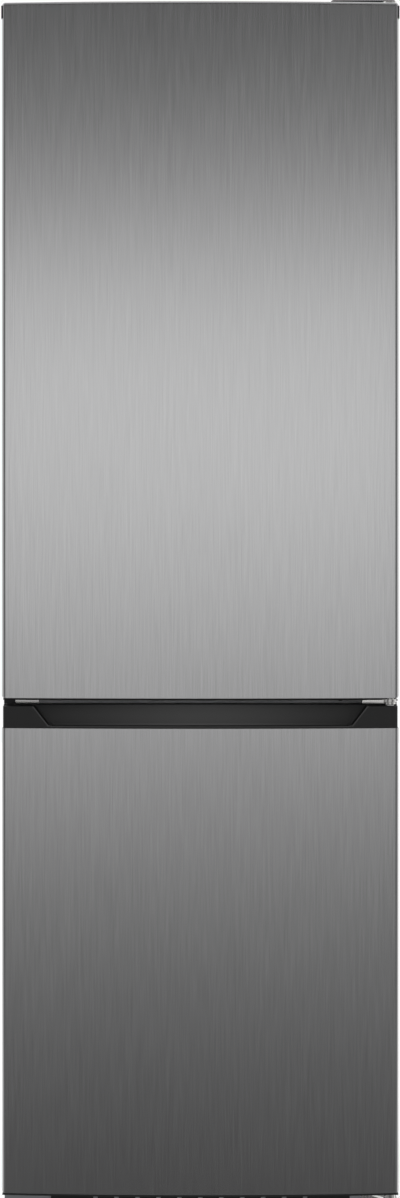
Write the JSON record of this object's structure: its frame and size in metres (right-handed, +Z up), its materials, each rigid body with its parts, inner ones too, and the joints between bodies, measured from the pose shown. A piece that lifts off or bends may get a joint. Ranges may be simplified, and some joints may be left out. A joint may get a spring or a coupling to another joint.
{
  "type": "fridge freezer",
  "caption": "Tall free-standing fridge freezer with a fridge above a freezer, two steel doors hung on the right, a recessed handle band between them, and drawers and shelves inside.",
  "frame": {"origin": "middle of the footprint on the floor", "axes": "+Z up, -Y out of the doors, +X to the hinge side"},
  "size_m": [0.6, 0.6499, 1.85],
  "materials": {
    "brushed_steel": "fine upright brushing",
    "cabinet_paint": "satin black",
    "beam_paint": "satin light grey",
    "galvanised": "zinc coated sheet",
    "white_liner": "smooth",
    "foam": "rigid foam",
    "black_plastic": "fine grain",
    "grey_plastic": "fine grain",
    "white_plastic": "fine grain",
    "clear_plastic": "clear",
    "glass": "clear, ground edges",
    "zinc": "zinc plated",
    "screw_steel": "plated",
    "black_enamel": "semi gloss",
    "aluminium": "mill finish",
    "copper": "drawn copper tube",
    "seal_rubber": "soft",
    "black_rubber": "soft"
  },
  "bodies": {
    "cabinet": {"outer_wrapper": "cabinet_paint", "back_panel": "galvanised", "insulation_foam": "foam", "fridge_liner": "white_liner", "freezer_liner": "white_liner", "front_crossbeam": "beam_paint", "base_frame": "galvanised", "machine_room_plates": "galvanised", "cord_inlet": "black_plastic", "plinth": "black_plastic", "compressor": "black_enamel", "compressor_mounts": "black_rubber", "relay_cover": "black_plastic", "drip_tray": "grey_plastic", "condenser_tube": "black_enamel", "condenser_wires": "black_enamel", "condenser_brackets": "black_plastic", "refrigerant_pipes": "copper", "evaporator": "aluminium", "evaporator_cover": "white_plastic", "air_duct_cover": "white_plastic", "control_housing": "white_plastic", "light_lens": "clear_plastic", "glass_shelves": "glass", "crisper_cover": "glass", "shelf_trims": "white_plastic", "freezer_shelves": "glass", "top_hinge": "zinc", "top_hinge_cover": "black_plastic", "middle_hinge": "zinc", "bottom_hinge": "zinc", "hinge_hole_cover": "zinc", "hinge_screws": "screw_steel"},
    "upper_door": {"upper_door_skin": "brushed_steel", "upper_door_foam": "foam", "upper_door_liner": "white_liner", "upper_door_top_cap": "black_plastic", "upper_door_bottom_cap": "black_plastic", "upper_door_gasket": "seal_rubber", "upper_door_bushes": "white_plastic", "door_bottle_rack": "clear_plastic", "door_balcony_middle": "clear_plastic", "door_balcony_top": "clear_plastic"},
    "lower_door": {"lower_door_skin": "brushed_steel", "lower_door_foam": "foam", "lower_door_liner": "white_liner", "lower_door_handle_cap": "black_plastic", "lower_door_bottom_cap": "black_plastic", "lower_door_gasket": "seal_rubber", "lower_door_bushes": "white_plastic"},
    "crisper_drawer": {"crisper_drawer": "clear_plastic"},
    "freezer_drawer_1": {"freezer_drawer_1": "clear_plastic"},
    "freezer_drawer_2": {"freezer_drawer_2": "clear_plastic"},
    "freezer_drawer_3": {"freezer_drawer_3": "clear_plastic"},
    "levelling_foot_right": {"levelling_foot_right": "black_plastic"},
    "levelling_foot_left": {"levelling_foot_left": "black_plastic"},
    "roller_right": {"roller_right": "grey_plastic"},
    "roller_left": {"roller_left": "grey_plastic"},
    "evaporator_fan": {"evaporator_fan": "grey_plastic"},
    "thermostat_knob": {"thermostat_knob": "grey_plastic"}
  },
  "joints": [
    {"name": "upper_door_hinge", "type": "hinge", "parent": "cabinet", "child": "upper_door", "pos_m": [0.2869, -0.29, 0.786], "axis": [0, 0, 1], "range_deg": [0, 125]},
    {"name": "lower_door_hinge", "type": "hinge", "parent": "cabinet", "child": "lower_door", "pos_m": [0.2869, -0.29, 0.038], "axis": [0, 0, 1], "range_deg": [0, 125]},
    {"name": "crisper_drawer_slide", "type": "slide", "parent": "cabinet", "child": "crisper_drawer", "axis": [0, -1, 0], "range_m": [0, 0.018]},
    {"name": "freezer_drawer_1_slide", "type": "slide", "parent": "cabinet", "child": "freezer_drawer_1", "axis": [0, -1, 0], "range_m": [0, 0.022]},
    {"name": "freezer_drawer_2_slide", "type": "slide", "parent": "cabinet", "child": "freezer_drawer_2", "axis": [0, -1, 0], "range_m": [0, 0.022]},
    {"name": "freezer_drawer_3_slide", "type": "slide", "parent": "cabinet", "child": "freezer_drawer_3", "axis": [0, -1, 0], "range_m": [0, 0.022]},
    {"name": "levelling_foot_right_turn", "type": "hinge", "parent": "cabinet", "child": "levelling_foot_right", "pos_m": [0.266, -0.206, 0], "axis": [0, 0, 1], "continuous": true},
    {"name": "levelling_foot_left_turn", "type": "hinge", "parent": "cabinet", "child": "levelling_foot_left", "pos_m": [-0.266, -0.206, 0], "axis": [0, 0, 1], "continuous": true},
    {"name": "roller_right_spin", "type": "hinge", "parent": "cabinet", "child": "roller_right", "pos_m": [0.26, 0.255, 0.015], "axis": [1, 0, 0], "continuous": true},
    {"name": "roller_left_spin", "type": "hinge", "parent": "cabinet", "child": "roller_left", "pos_m": [-0.26, 0.255, 0.015], "axis": [1, 0, 0], "continuous": true},
    {"name": "evaporator_fan_spin", "type": "hinge", "parent": "cabinet", "child": "evaporator_fan", "pos_m": [0, 0.1665, 0.667], "axis": [0, 1, 0], "continuous": true},
    {"name": "thermostat_knob_turn", "type": "hinge", "parent": "cabinet", "child": "thermostat_knob", "pos_m": [0.084, -0.2005, 1.7748], "axis": [0, 1, 0], "range_deg": [0, 270]}
  ]
}
